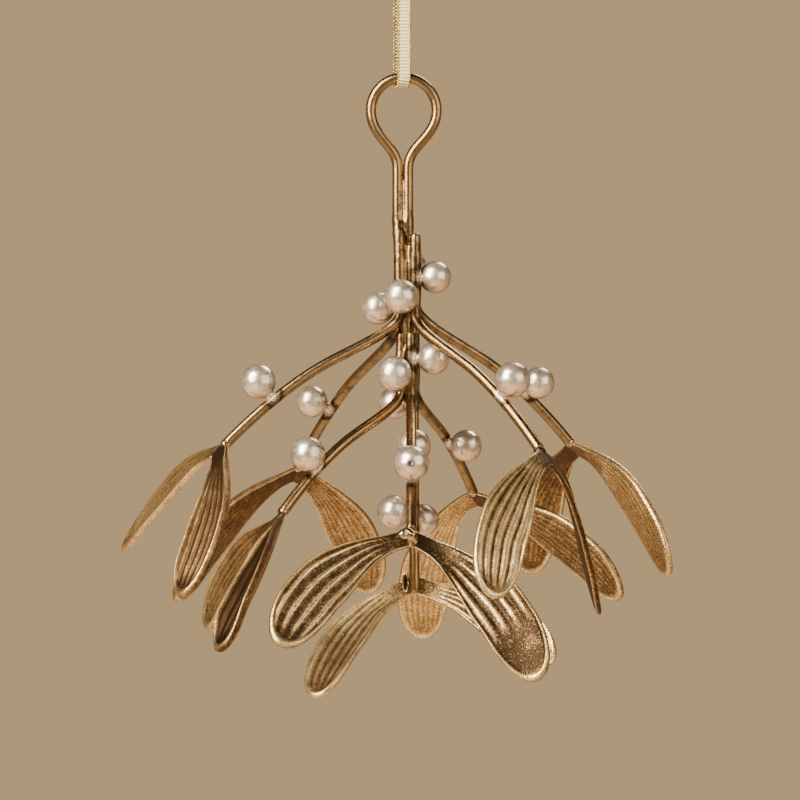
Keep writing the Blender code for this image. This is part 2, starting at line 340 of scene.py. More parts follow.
def makeLeafGold():
    # antiqued gold leafing over stamped brass: satin, with dark wax left in the grooves, rubbed bright
    # on crests and rims and painted brighter there (painted highlight), painted shade where a leaf is set darker, and a
    # fine metallic flake that sparkles, some with painted glints
    material, tree, shader = newMaterial("antiquedGoldLeafing")
    place = objectPlace(tree)
    crest, inner, rim, _ = readLayer(tree, "relief")
    warmth, dark, deepShade, matt = readLayer(tree, "tone")
    patches = addNoise(tree, place, 330, 4, 0.6)  # 3 mm across
    grain = addNoise(tree, place, 2600, 3, 0.7)  # 0.4 mm across, coarser than real leafing so that it shows
    flakes = addNode(tree, "ShaderNodeTexVoronoi", {"Scale": 3200, "Randomness": 1.0, "Vector": place})  # 0.3 mm
    luck = addNode(tree, "ShaderNodeSeparateColor", {"Color": flakes.outputs["Color"]}).outputs["Red"]
    # how much bright gold shows: rubbed crests and rims up, raised further as a painted highlight, grain and patches
    # either way, wax down
    shown = addMath(tree, "MULTIPLY", crest, 0.55)
    shown = addMath(tree, "ADD", shown, rim)
    shown = addMath(tree, "ADD", shown, addRange(tree, grain, (0.35, 0.65), (-0.24, 0.24)))
    shown = addMath(tree, "ADD", shown, addRange(tree, patches, (0.3, 0.7), (-0.16, 0.16)))
    # about one flake in eight is painted brighter: a painted glint for a flake that lies flat and catches the light
    shown = addMath(tree, "ADD", shown, addRange(tree, luck, (0.84, 0.96), (0, 0.26)))
    # painted shade: each leaf's set darkness takes gold away, or adds it where negative
    shown = addMath(tree, "SUBTRACT", shown, dark, clamp=True)
    outer = addRamp(tree, shown, (0.0, goldColours["umber"]), (0.28, goldColours["brown"]),
                    (0.6, goldColours["gold"]), (0.95, goldColours["pale"]))
    warm = addRamp(tree, shown, (0.0, goldColours["warmUmber"]), (0.3, goldColours["warmBrown"]),
                   (0.7, goldColours["warmGold"]), (1.0, goldColours["warmPale"]))
    warmer = addMath(tree, "MAXIMUM", addMath(tree, "MULTIPLY", inner, 0.85), warmth)
    colour = addMix(tree, warmer, outer, warm)
    height = addMath(tree, "ADD", addMath(tree, "MULTIPLY", flakes.outputs["Distance"], 0.8), grain)
    feed(tree, shader, {
        # painted shade: the deep shade set per leaf mixes the colour towards near black
        "Base Color": addMix(tree, deepShade, colour, goldColours["deepShade"]),
        "Metallic": 1.0,
        "Roughness": addMath(tree, "MAXIMUM", addRange(tree, shown, (0.45, 1), (0.46, 0.17)), matt),
        "Normal": addBump(tree, height, 0.65, 0.00008),
    })
    return material


def makeWireGold():
    # the same leafing on drawn wire: smoother and brighter, rough and specked where it was brazed,
    # misted with pearl paint beside the berries, that mist also a painted highlight along the wire, and darker where
    # painted shade is given
    material, tree, shader = newMaterial("leafedWire")
    place = objectPlace(tree)
    brazed, paint, dark, _ = readLayer(tree, "finish")
    patches = addNoise(tree, place, 420, 5, 0.65)  # 2.4 mm across
    grain = addNoise(tree, place, 2600, 3, 0.7)  # 0.4 mm across
    speckle = addRange(tree, grain, (0.35, 0.65), (-0.13, 0.13))
    shown = addMath(tree, "ADD", addRange(tree, patches, (0.3, 0.7), (0.18, 0.64)), speckle)
    shown = addMath(tree, "SUBTRACT", shown, dark, clamp=True)
    metal = addRamp(tree, shown, (0.0, goldColours["umber"]), (0.25, goldColours["brown"]),
                    (0.6, goldColours["wireBrown"]), (1.0, goldColours["wirePale"]))
    # stray paint near the berries; its wide mist is partly a painted highlight along the wire
    mistAndGlint = addRange(tree, addMath(tree, "ADD", paint, speckle), (0.3, 0.75), kind="SMOOTHSTEP")
    height = addMath(tree, "MULTIPLY", grain, addRange(tree, brazed, (0, 1), (0.25, 0.45)))
    feed(tree, shader, {
        "Base Color": addMix(tree, mistAndGlint, metal, goldColours["strayPaintAndGlint"]),
        "Metallic": addMath(tree, "SUBTRACT", 1.0, mistAndGlint, clamp=True),
        "Roughness": addRange(tree, shown, (0, 1), (0.36, 0.16)),
        "Normal": addBump(tree, height, 0.4, 0.00006),
    })
    return material


def makePearlPaint():
    # brushed pearl paint on a bead: creamy satin under a clear skin, with grey clouds, a painted reflection of the warm
    # surroundings in peach on the underside, and painted shade in the drilled hole
    material, tree, shader = newMaterial("pearlPaint")
    place = objectPlace(tree)
    clouds = addNoise(tree, place, 260, 3, 0.55)  # 4 mm across
    specks = addNoise(tree, place, 900, 4, 0.7)  # 1 mm across
    paintedBounce, drilled, _, _ = readLayer(tree, "shade")
    colour = addRamp(tree, clouds, (0.3, pearlColours["sand"]), (0.45, pearlColours["cream"]),
                     (0.6, pearlColours["ivory"]), (0.75, pearlColours["ash"]))
    colour = addMix(tree, addRange(tree, specks, (0.46, 0.66), (0, 0.85)), colour, pearlColours["darkSpot"])
    # painted reflection: the underside tinted peach
    colour = addMix(tree, paintedBounce, colour, pearlColours["peach"])
    feed(tree, shader, {
        # painted shade in the drilled hole
        "Base Color": addMix(tree, drilled, colour, pearlColours["hole"]),
        "Metallic": 0.85,
        "Specular Tint": linearColour(pearlColours["edge"]),
        "Roughness": 0.3,
        "IOR": 1.5,
        "Coat Weight": 0.7,
        "Coat Roughness": 0.2,
        "Normal": addBump(tree, specks, 0.25, 0.00008),
    })
    return material


def makeRibbonWeave():
    # ribbed rayon: soft ivory with a dull sheen, painted shade in the grooves between ribs and a painted highlight on
    # their tops, with threads 0.2 mm wide
    material, tree, shader = newMaterial("ribbedRayon")
    weave = addNode(tree, "ShaderNodeUVMap", uv_map="weave")
    along = addNode(tree, "ShaderNodeSeparateXYZ", {0: weave.outputs[0]}).outputs[0]
    turns = addMath(tree, "MULTIPLY", along, 2 * math.pi / ribbon["rib"])
    wave = addNode(tree, "ShaderNodeMath", {0: turns}, operation="COSINE").outputs[0]
    threads = addNoise(tree, objectPlace(tree), 5200, 2)
    feed(tree, shader, {
        # painted shade and highlight along each rib
        "Base Color": addRamp(tree, addRange(tree, wave, (-1, 1)), (0.1, ribbonColours["groove"]),
                              (0.45, ribbonColours["flank"]), (0.8, ribbonColours["rib"]),
                              (1.0, ribbonColours["top"])),
        "Roughness": 0.6,
        "Sheen Weight": 0.12,
        "Normal": addBump(tree, threads, 0.3, 0.00004),
    })
    return material


def makeMetallicThread():
    # lurex edge thread: flat gold foil twisted round a core, its glints painted as bright steps of colour (painted
    # highlight)
    material, tree, shader = newMaterial("goldThread")
    twist = addNoise(tree, objectPlace(tree), 1800, 2)  # 0.6 mm across
    feed(tree, shader, {
        "Base Color": addRamp(tree, twist, (0.35, ribbonColours["threadDark"]), (0.5, ribbonColours["thread"]),
                              (0.65, ribbonColours["threadGlint"])),
        "Metallic": 0.85,
        "Roughness": 0.3,
        "Normal": addBump(tree, twist, 0.5, 0.00005),
    })
    return material


leafGold = makeLeafGold()
wireGold = makeWireGold()
pearlPaint = makePearlPaint()
print("materials ready")


# ribbon: through the eye and up to the knot

ribbon = {
    "halfWidth": 1.38, "thickness": 0.35, "ground": 0.6, "rib": 0.8, "ribHeight": 0.16, "ribRound": 0.6,
    "thinEdge": 0.4, "clear": 1.725, "sag": 0.45, "straight": 6.0,
    "top": -0.6, "topY": 1.3, "backX": -1.0, "frontX": 0.1,
    "thread": 0.16, "loop": 0.24, "loopReach": 0.18, "threadInset": 0.02, "step": 0.1, "columns": 12, "turnSteps": 24,
}


def ribbonRoute():
    points = [
        Vector((ribbon["backX"], ribbon["topY"], ribbon["top"])),
        Vector((ribbon["backX"], ribbon["clear"], eye["top"] + ribbon["straight"])),
    ]
    for step in range(ribbon["turnSteps"] + 1):
        t = step / ribbon["turnSteps"]
        points.append(Vector((
            ribbon["backX"] + (ribbon["frontX"] - ribbon["backX"]) * t,
            ribbon["clear"] * math.cos(math.pi * t),
            eye["top"] - (ribbon["clear"] + ribbon["sag"]) * math.sin(math.pi * t))))
    points += [
        Vector((ribbon["frontX"], -ribbon["clear"], eye["top"] + ribbon["straight"])),
        Vector((ribbon["frontX"], -ribbon["topY"], ribbon["top"])),
    ]
    return points


def bandFrame(line, sides, row):
    # across the band and out of its face, at one point of its line
    along = (line[min(row + 1, len(line) - 1)] - line[max(row - 1, 0)]).normalized()
    side = squareTo(sides[row], along)
    return side, side.cross(along)


def addBand(shape, line, sides, halfWidth):
    # a ribbed strip along a line, with its own weave map in millimetres
    weave = shape.loops.layers.uv.get("weave") or shape.loops.layers.uv.new("weave")
    grid = bmesh.ops.create_grid(shape, x_segments=len(line) - 1, y_segments=ribbon["columns"], size=1.0)
    spacing = lineLength(line) / (len(line) - 1)
    where = {}
    for vertex in grid["verts"]:
        row = round((vertex.co.x + 1) / 2 * (len(line) - 1))
        v = vertex.co.y
        side, normal = bandFrame(line, sides, row)
        rib = abs(math.cos(math.pi * row * spacing / ribbon["rib"])) ** ribbon["ribRound"]
        lift = ribbon["ribHeight"] * rib * (1 - ribbon["thinEdge"] * abs(v) ** 4)
        where[vertex] = (row * spacing, v * halfWidth)
        vertex.co = line[row] + side * v * halfWidth + normal * (lift - ribbon["ribHeight"] / 2)
    faces = {face for vertex in grid["verts"] for face in vertex.link_faces}
    for face in faces:
        for loop in face.loops:
            loop[weave].uv = where[loop.vert]
    bmesh.ops.solidify(shape, geom=list(faces), thickness=ribbon["thickness"] * ribbon["ground"])


def addEdgeThread(shape, line, sides, halfWidth, sign):
    # foil thread looping over the edge once a rib
    fine = []
    spacing = lineLength(line) / (len(line) - 1)
    for row, point in enumerate(line):
        side, normal = bandFrame(line, sides, row)
        turn = 2 * math.pi * row * spacing / ribbon["rib"]
        reach = halfWidth - ribbon["threadInset"] + ribbon["loopReach"] * math.cos(turn)
        fine.append(point + side * sign * reach + normal * ribbon["loop"] * math.sin(turn))
    for vertex in mergeInto(shape, roundTube(fine, ribbon["thread"], 1)):
        for face in vertex.link_faces:
            face.material_index = 1


ribbonWeave = makeRibbonWeave()
goldThread = makeMetallicThread()
ribbonLine = evenSteps(ribbonRoute(), ribbon["step"])
sideways = [Vector((1, 0, 0))] * len(ribbonLine)
ribbonShape = bmesh.new()
addBand(ribbonShape, ribbonLine, sideways, ribbon["halfWidth"])
for sign in (-1, 1):
    addEdgeThread(ribbonShape, ribbonLine, sideways, ribbon["halfWidth"], sign)
ribbonPiece = keepPiece("ribbon_woven", ribbonShape, [ribbonWeave, goldThread], "gold_edged_ribbon", "ribbon")

# the knot: both strands wrapped once, as a trefoil, and pulled tight, with two cut tails
knot = {
    "middle": (-0.45, 0.0, 2.0), "size": (2.3, 0.935, 1.7), "steps": 180, "halfWidth": 1.0, "lean": (0.2, 1, 0.1),
    "tail": ((0.4, 0.5, 0.6), (0.5, 0.7, 3), (1.3, 0.9, 4.5), (2.6, 0.6, 7.0)), "tailSide": (1, 0.5, -0.3),
}
knotShape = bmesh.new()
knotMiddle = Vector(knot["middle"])
wraps = []
for i in range(knot["steps"] + 1):
    t = 2 * math.pi * i / knot["steps"]
    wraps.append(knotMiddle + Vector((
        (math.sin(t) + 2 * math.sin(2 * t)) / 3 * knot["size"][0],
        -math.sin(3 * t) * knot["size"][1],
        (math.cos(t) - 2 * math.cos(2 * t)) / 3 * knot["size"][2])))
wraps = evenSteps(wraps, ribbon["step"])
lean = Vector(knot["lean"])
addBand(knotShape, wraps, [(point - knotMiddle).cross(lean).normalized() for point in wraps], knot["halfWidth"])
for sign in (-1, 1):
    tail = chain([knotMiddle + Vector((sign * x, sign * y, z)) for x, y, z in knot["tail"]])
    tail = evenSteps(tail, ribbon["step"])
    x, y, z = knot["tailSide"]
    addBand(knotShape, tail, [Vector((x, sign * y, z))] * len(tail), ribbon["halfWidth"])
knotPiece = keepPiece("ribbon_tied_knot", knotShape, [ribbonWeave], "gold_edged_ribbon", "ribbon_knot")

ribbonPath = [point * mm for point in ribbonLine[::5]] + [ribbonLine[-1] * mm]
lineLength(ribbonPath)
print("ribbon", round(lineLength(ribbonPath) * 1000, 1), "mm")


# berries: where each sits, so the wires know where the paint strayed

# its wire, its height there or how far back from the wire's end, its azimuth, elevation and diameter
berries = {
    "stem_back": ("upper_back_right", -71.3, 102, 0, 7.8),
    "stem_right": ("upper_front_right", -74.0, 28, 0, 7.8),
    "stem_front": ("upper_left", -78.8, 273, 0, 8.3),
    "stem_left": ("upper_left", -81.4, 160, 0, 8.0),
    "lower_stem_right": ("lower_front", -93.5, 356, 0, 7.8),
    "lower_stem_front": ("lower_left", -97.2, 254, 0, 8.4),
    "lower_stem_back": ("centre", -104.1, 146.5, 0, 7.8),
    "centre_front": ("centre", -114.5, 270, 0, 8.2),
    "centre_left": ("centre", -130.3, 206, 0, 8.0),
    "centre_back": ("centre", -132.5, 68, 0, 7.8),
    "upper_left": ("upper_left", 15.4, 180, 50, 8.4),
    "upper_back_left": ("upper_back_left", 20, 197, 21, 7.8),
    "lower_left": ("lower_left", 13.2, 244, 46, 8.3),
    "lower_front": ("lower_front", 15, 270, 44, 8.4),
    "lower_back": ("lower_back", 18.9, 326, -12, 7.8),
    "upper_front_right": ("upper_front_right", 17, 318, 50, 8.4),
    "upper_back_right": ("upper_back_right", 17.7, 319, 23, 7.8),
}
berrySeats = {}
for name, (wire, place, azimuth, elevation, diameter) in berries.items():
    foot, along = walkBack(routes[wire], place) if place > 0 else findHeight(routes[wire], place)
    berrySeats[name] = (foot, along, squareTo(compass(azimuth, elevation), along), diameter / 2)
contacts = [foot + outward * wireStock["radius"] for foot, along, outward, radius in berrySeats.values()]


# wires

wireFinish = {
    "dents": 0.025, "brazedDents": 0.05, "dentSize": 0.9, "dentStretch": 3.0,
    "paint": 0.7, "paintReach": 2.9, "mistAndGlint": 0.22, "mistAndGlintReach": 9, "burnt": 0.4, "burntWidth": 1.0,
    "backPaintedShade": 0.14, "brazedDull": 0.2, "rounding": (0.66, 0.9, 0.98), "inset": 0.3,
}
brazeZones = {"reach": 6.5, "fade": 3, "heights": ((-62.8, 1.5, -87.0), (-86.6, 1.0, -106.0))}  # top, its fade, bottom


def brazedAmount(point):
    # the bundle is brazed between the cut tops and the nodes
    if math.hypot(point.x - stem["x"], point.y) > brazeZones["reach"]:
        return 0.0
    return max(smooth((top - point.z) / fade) * smooth((point.z - bottom) / brazeZones["fade"])
               for top, fade, bottom in brazeZones["heights"])


def addFinish(shape, brazed, dark):
    # braze, stray pearl paint beside the berries with burnt flux round it, its wider mist also a painted highlight
    # along the wire, and darkness, part of it painted shade
    layer = shape.verts.layers.float_color.new("finish")
    for vertex in shape.verts:
        near = min((vertex.co - contact).length for contact in contacts)
        paint = wireFinish["paint"] * smooth(1 - near / wireFinish["paintReach"])
        # a wide faint mist: partly stray paint, partly a painted highlight along the wire
        paint += wireFinish["mistAndGlint"] * smooth(1 - near / wireFinish["mistAndGlintReach"])
        burnt = wireFinish["burnt"] * smooth(1 - abs(near - wireFinish["paintReach"]) / wireFinish["burntWidth"])
        vertex[layer] = (brazed(vertex.co), paint, dark(vertex.co) + burnt, 1)


def addWire(name, node, points, bareEnd, seed):
    # rounded where it is cut: at its top, and at its end unless a leaf strip covers that
    line = evenSteps(points, wireStock["step"])
    thinning = [1.0] * len(line)
    thinning[:3] = wireFinish["rounding"]
    line[0] = line[0].lerp(line[1], wireFinish["inset"])
    if bareEnd:
        thinning[-3:] = reversed(wireFinish["rounding"])
        line[-1] = line[-1].lerp(line[-2], wireFinish["inset"])
    shape = roundTube(line, wireStock["radius"], 8, thinning)
    roughen(shape, lambda v: wireFinish["dents"] + wireFinish["brazedDents"] * brazedAmount(v.co),
            wireFinish["dentSize"], seed, wireFinish["dentStretch"])
    # painted shade: wires at the back are darker, as less light reaches them
    backShade = wireFinish["backPaintedShade"] if "back" in name else 0.0
    addFinish(shape, brazedAmount, lambda point: backShade + wireFinish["brazedDull"] * brazedAmount(point))
    keepPiece(name, shape, [wireGold], "foiled_gold_wire", node)


addWire("eye_wire", "hanging_eye", eyeRoute(), True, 3.1)
for seed, (name, points) in enumerate(routes.items()):
    addWire("branch_wire_" + name, "wire_" + name, points, name == "centre", 7.3 * seed)
print("wires ready")


# braze between the wires: one skin over the bundle, smoothed so that it fills the creases

braze = {
    "step": 0.5, "endTaper": 0.6, "taperSteps": 9, "legSeam": 0.84, "legsEnd": -57.0, "legsFade": 6, "share": 0.98,
    "grow": 0.5, "voxel": 0.22, "smoothing": 9, "pull": 0.6, "shrink": 0.24,
    "dark": 0.18, "creaseShade": 0.12, "creaseFrom": 1.4, "creaseFade": 0.4,
    "dents": 0.04, "dentSize": 0.9, "dentStretch": 4.0,
}


def addBraze(name, spans, seed):
    shape = bmesh.new()
    lines = [[p for p in evenSteps(points, braze["step"]) if top >= p.z >= bottom] for points, top, bottom in spans]
    axes = KDTree(sum(len(kept) for kept in lines))
    for i, point in enumerate(point for kept in lines for point in kept):
        axes.insert(point, i)
    axes.balance()
    for kept in lines:
        # thin at both ends, and only a seam between the legs of the eye
        thinning = []
        for i, point in enumerate(kept):
            inward = smooth(i / braze["taperSteps"]) * smooth((len(kept) - 1 - i) / braze["taperSteps"])
            below = smooth((braze["legsEnd"] - point.z) / braze["legsFade"])
            thinning.append((braze["endTaper"] + (1 - braze["endTaper"]) * inward) *
                            (braze["legSeam"] + (1 - braze["legSeam"]) * below))
        mergeInto(shape, roundTube(kept, wireStock["radius"] * braze["share"], 4, thinning))
    mesh = bpy.data.meshes.new(name)
    shape.to_mesh(mesh)
    shape.free()
    holder = bpy.data.objects.new(name, mesh)
    bpy.context.collection.objects.link(holder)
    grow = holder.modifiers.new("grow", "DISPLACE")
    grow.strength = braze["grow"]
    grow.mid_level = 0
    join = holder.modifiers.new("join", "REMESH")
    join.mode = "VOXEL"
    join.voxel_size = braze["voxel"]
    solid = bpy.data.meshes.new_from_object(holder.evaluated_get(bpy.context.evaluated_depsgraph_get()))
    bpy.data.objects.remove(holder)
    skin = bmesh.new()
    skin.from_mesh(solid)
    for _ in range(braze["smoothing"]):
        bmesh.ops.smooth_vert(skin, verts=skin.verts, factor=braze["pull"], use_axis_x=True, use_axis_y=True,
                              use_axis_z=True)
    skin.normal_update()
    for vertex in skin.verts:
        vertex.co -= vertex.normal * braze["shrink"]

    # painted shade: the braze darker in the creases, away from the middle of every wire, on top of its set darkness
    def creaseShade(point):
        return braze["dark"] + braze["creaseShade"] * smooth(
            (axes.find(point)[2] - braze["creaseFrom"]) / braze["creaseFade"])

    addFinish(skin, lambda point: 1.0, creaseShade)
    roughen(skin, braze["dents"], braze["dentSize"], seed, braze["dentStretch"])
    keepPiece(name, skin, [wireGold], "foiled_gold_wire")


eyeLine = eyeRoute()
half = len(eyeLine) // 2
solderRun = [Vector(p) for p in ((-1.45, 0.9, -58.0), (-1.3, -0.7, -62.0), (-1.1, -1.85, -65.0), (-1.0, -2.14, -72.0))]
solderSeam = [Vector((0.75, -1.2, -66.5)), Vector((0.75, -1.4, -90.0))]
# each span: its line, top and bottom
addBraze("upper_braze", [
    (eyeLine[:half], -48.2, -65.4), (eyeLine[half:], -48.2, -66.9),
    (routes["upper_left"], -65.4, -84.5), (routes["upper_back_left"], -65.4, -85.5),
    (routes["upper_front_right"], -64.4, -84.0), (routes["upper_back_right"], -64.4, -82.0),
    (routes["centre"], -66.0, -88.5),
    (solderRun, -58.0, -72.0),  # ran down from the left leg's end
    (solderSeam, -66.5, -90.0)], 11.0)  # between the wires in front
addBraze("lower_braze", [
    (routes["lower_left"], -88.6, -103.2), (routes["lower_front"], -88.6, -103.2),
    (routes["lower_back"], -88.6, -102.6), (routes["centre"], -86.5, -104.5)], 23.0)
print("braze ready")


# leaves: stamped pairs, ribbed outside, finely ribbed inside

leaf = {  # lengths in mm; from and to, in, out and span are shares of the leaf's length or half width
    "chord": 45.0, "thickness": 1.2, "neckHalf": 2.3, "bladeHalf": 6.6, "bow": 8.0, "bowAt": 0.6,
    "neckReach": 11.0, "neckDip": 20, "strip": 0.35, "widestFrom": 0.08, "widening": 0.5,
    "roundedFrom": 0.7, "tipRound": 2.1, "edgeRound": 9, "closing": 0.015,  # outline above, ribs and rim below
    "ribHeight": 0.5, "ribbedTo": 0.9, "ribsIn": 0.2, "ribsOut": 0.14, "ribSharp": 0.4, "ribBase": 0.6,
    "fullRibs": 0.6, "wander": 0.05,
    "innerRibs": 8, "innerHeight": 0.2, "innerGround": 0.55, "innerRim": 0.8,
    "rimHeight": 0.42, "rimHalf": 0.12, "rimAt": 0.93, "rimGap": 0.1, "rimFrom": 0.04, "rimSpan": 0.2,
    # rims: painted brighter as a painted highlight, partly rubbed gold, and kept partly out of each leaf's painted
    # shade
    "rimGlint": 0.5, "rimOutOfShade": 0.8,
    "cupping": 0.3, "cupEnd": 1.04, "hubDark": 0.12, "tipDarkening": 0.08, "tipDarkFrom": 0.8, "tipDarkSpan": 0.12,
    "dents": 0.014, "dentSize": 1.6, "rows": 84, "columns": 84, "crowding": 0.3, "lineStep": 0.05,
    "finish": dict(warm=0.2, dark=0.1, deepShade=0.0, matt=0.0, lining=1.0, hub=0.15, plain=0.55, ground=0.1,
                   crest=1.0, sharp=1.0, cup=0.9, rim=1.0, depth=1.0, ribs=5, ribsFrom=0.1, ribsTo=0.97),
}
# each leaf: its heading and dip, and the azimuth and elevation that its outer face looks to
# each finish: how warm, dark, deeply shaded and matt the leaf is (its darkness and deep shade are painted shade and
# light, set by how much light the leaf catches), how warm its lining is, and how dark its hub;
# how bright it is where plain, between the ribs and on their crests (rubbed gold, and a painted highlight where
# raised), and how thin the crests are;
# how deep its cup is, how thick its rim, how deep its ribs, how many, and where they begin and end
# per-leaf dark and deep shade are painted shade and light, set by how much light each leaf catches
leafPairs = {
    "upper_left": dict(
        size=1.0, left=(131, 33, 188, 25), right=(255, 48, 218, 20),
        leftFinish=dict(warm=0.4, dark=-0.08, ground=0.1, cup=0.6, sharp=2, crest=1.2, depth=1.2),
        rightFinish=dict(warm=0.5, dark=0.46, ground=0.3, crest=1.3, sharp=4, rim=1.8)),
    "upper_back_left": dict(
        size=1.0, left=(207, 44, 150, 20), right=(59, 43, 75, 20),
        leftFinish=dict(warm=0.6, dark=0.35, ground=0.3, sharp=1.5),
        rightFinish=dict(warm=0.6, dark=0.17)),
    "upper_front_right": dict(
        size=1.0, left=(247, 45, 300, 15), right=(56, 57, 3, 10),
        leftFinish=dict(warm=0.1, dark=-0.04, matt=0.3, hub=0.45, crest=1.25, depth=1.5),
        rightFinish=dict(warm=0.2, dark=1.0, deepShade=0.3, rim=0.7, hub=0.3)),
    "upper_back_right": dict(
        size=1.0, left=(108, 45, 70, 20), right=(311, 42, 18, 12),
        leftFinish=dict(warm=0.6, dark=0.32),
        rightFinish=dict(warm=0.1, dark=0.0, lining=0.7, sharp=2.5, crest=1.3, depth=1.5)),
    "lower_left": dict(
        size=1.0, left=(121, 37, 208, 20), right=(248, 41, 209, 12),
        leftFinish=dict(warm=0.5, dark=0.06, ground=0.25, sharp=2),
        rightFinish=dict(warm=0.5, dark=0.75, deepShade=0.55, cup=2.4, sharp=1.5, rim=1.5, ribsFrom=0.05)),
    "lower_front": dict(
        size=1.0, left=(219, 32, 283, 30), right=(337, 46, 255, 15),
        leftFinish=dict(warm=0.1, dark=0.18, plain=0.4, ground=0.35, crest=1.8, sharp=7, rim=1.3, ribs=4),
        rightFinish=dict(warm=0.0, dark=0.28, plain=0.4, ground=0.28, crest=1.7, sharp=4, cup=1.3, rim=1.8,
                         depth=0.9, ribs=4, ribsFrom=0.2, ribsTo=0.76)),
    "lower_back": dict(
        size=1.0, left=(117, 53, 95, 15), right=(339, 33, 40, 20),
        leftFinish=dict(warm=0.2, dark=-0.06),
        rightFinish=dict(warm=0.4, dark=0.32, lining=0.7)),
    "centre": dict(
        size=0.9, left=(222, 40, 240, 20), right=(333, 28, 275, 25),
        leftFinish=dict(warm=0.25, dark=-0.1, matt=0.36, hub=0.3, ground=0.0, crest=1.25, sharp=0.9, depth=1.1),
        rightFinish=dict(warm=0.2, dark=0.08)),
}


def tipReach(s):
    # 0 where the rounded tip begins, 1 at its end
    return min(1.0, max(0.0, (s - leaf["roundedFrom"]) / (1.0 - leaf["roundedFrom"])) ** leaf["tipRound"])


def halfWidth(s, size):
    width = leaf["neckHalf"] + (leaf["bladeHalf"] - leaf["neckHalf"]) * smooth(
        (s - leaf["widestFrom"]) / leaf["widening"])
    return size * max(width * math.sqrt(1.0 - tipReach(s)), 0.01)


def leafLines(hub, wireDirection, pair):
    # the way the strip runs and faces, and each leaf's midrib and face
    size = pair["size"]
    chords, faces = [], []
    for heading, dip, faceAzimuth, faceElevation in (pair["left"], pair["right"]):
        chords.append(compass(heading, -dip) * leaf["chord"] * size)
        faces.append(compass(faceAzimuth, faceElevation))
    across = squareTo(chords[1] - chords[0], wireDirection)
    hubFace = wireDirection.cross(across).normalized()
    if hubFace.dot(faces[0] + faces[1]) < 0:
        hubFace.negate()
    midribs = []
    dip = math.radians(leaf["neckDip"])
    for sign, chord, face in zip((-1, 1), chords, faces):
        neck = (across * sign * math.cos(dip) + wireDirection * math.sin(dip)) * leaf["neckReach"] * size
        bow = face.cross(chord).normalized() * leaf["bow"] * size
        if bow.dot(wireDirection) > 0:
            bow.negate()
        midribs.append(evenSteps(interpolate_bezier(
            hub, hub + neck, hub + chord * leaf["bowAt"] + bow, hub + chord, 200), leaf["lineStep"]))
    return across, hubFace, midribs, faces


def leafFrame(u, size, across, hubFace, midribs, faces):
    # one row of the grid: how far out it lies (0 to 1), on which leaf, its middle, face, side and half width
    side = 0 if u < 0 else 1
    s = 0.5 * (abs(u) + math.sin(abs(u) * math.pi / 2))  # rows crowd towards the tips
    line = midribs[side]
    place = s * (len(line) - 1)
    i = min(int(place), len(line) - 2)
    along = (line[i + 1] - line[i]).normalized() * (1 if side else -1)
    if abs(u) < 0.01:
        along = across
    face = squareTo(hubFace.lerp(faces[side], smooth(s / leaf["strip"])), along)
    return s, side, line[i].lerp(line[i + 1], place - i), face, face.cross(along), halfWidth(s, size)


def leafSkin(s, v, width, finish, skin, seed):
    # the outer skin (1) or the lining (-1) at one spot: how far it stands out, its relief and its tone
    outside = skin > 0
    edge = math.sqrt(tipReach(s) + v ** 2 * (1 - tipReach(s)))  # 1 all along the outline
    inside = smooth((leaf["rimAt"] - edge) / leaf["rimGap"])
    rim = smooth(1 - abs(edge - leaf["rimAt"]) / leaf["rimHalf"])
    if outside:
        count, height, sharp = finish["ribs"], leaf["ribHeight"], finish["sharp"]
        ground, top = finish["ground"], finish["crest"]
    else:
        count, height, sharp = leaf["innerRibs"], leaf["innerHeight"], 1.0
        ground, top = leaf["innerGround"], 1.0
    fade = smooth((s - finish["ribsFrom"]) / leaf["ribsIn"]) * smooth((finish["ribsTo"] - s) / leaf["ribsOut"])
    wander = leaf["wander"] * noise.noise(Vector((s * 5, seed, skin)))
    crest = abs(math.sin(math.pi * count * (v / leaf["ribbedTo"] + wander + 1) / 2))
    body = leaf["thickness"] / 2 * math.sqrt(max(0.0, 1 - edge ** leaf["edgeRound"]))
    body *= math.sqrt(max(0.0, 1 - max(0.0, (s - 1) / leaf["closing"] + 1) ** 2))
    ribs = finish["depth"] * fade * height * (crest ** (leaf["ribSharp"] * (1 + sharp)) - leaf["ribBase"]) * inside
    ribs *= min(1.0, width / (leaf["bladeHalf"] * leaf["fullRibs"]))
    rolled = leaf["rimHeight"] * finish["rim"] * rim * smooth((s - leaf["rimFrom"]) / leaf["rimSpan"])
    rolled *= 1 if outside else leaf["innerRim"]
    lift = 0.0 if edge > 0.999 or s > 0.999 else body + ribs + rolled
    bright = ground + (top - ground) * crest ** sharp
    shown = bright * fade * inside + (1 - fade * inside) * finish["plain"]
    # painted shade: the leaf's set darkness, kept partly off the rims; the hub darker too
    dark = finish["dark"] * (1 - leaf["rimOutOfShade"] * rim) + finish["hub"] * smooth(1.2 - s / leaf["hubDark"])
    # outer faces darker towards the tip
    if outside:
        dark += leaf["tipDarkening"] * smooth((s - leaf["tipDarkFrom"]) / leaf["tipDarkSpan"]) * inside
    # painted highlight on the rim, partly rubbed gold
    relief = (shown, 0.0 if outside else finish["lining"], leaf["rimGlint"] * rim, 1)
    return lift, relief, (finish["warm"], dark, finish["deepShade"] * (1 - rim), finish["matt"])


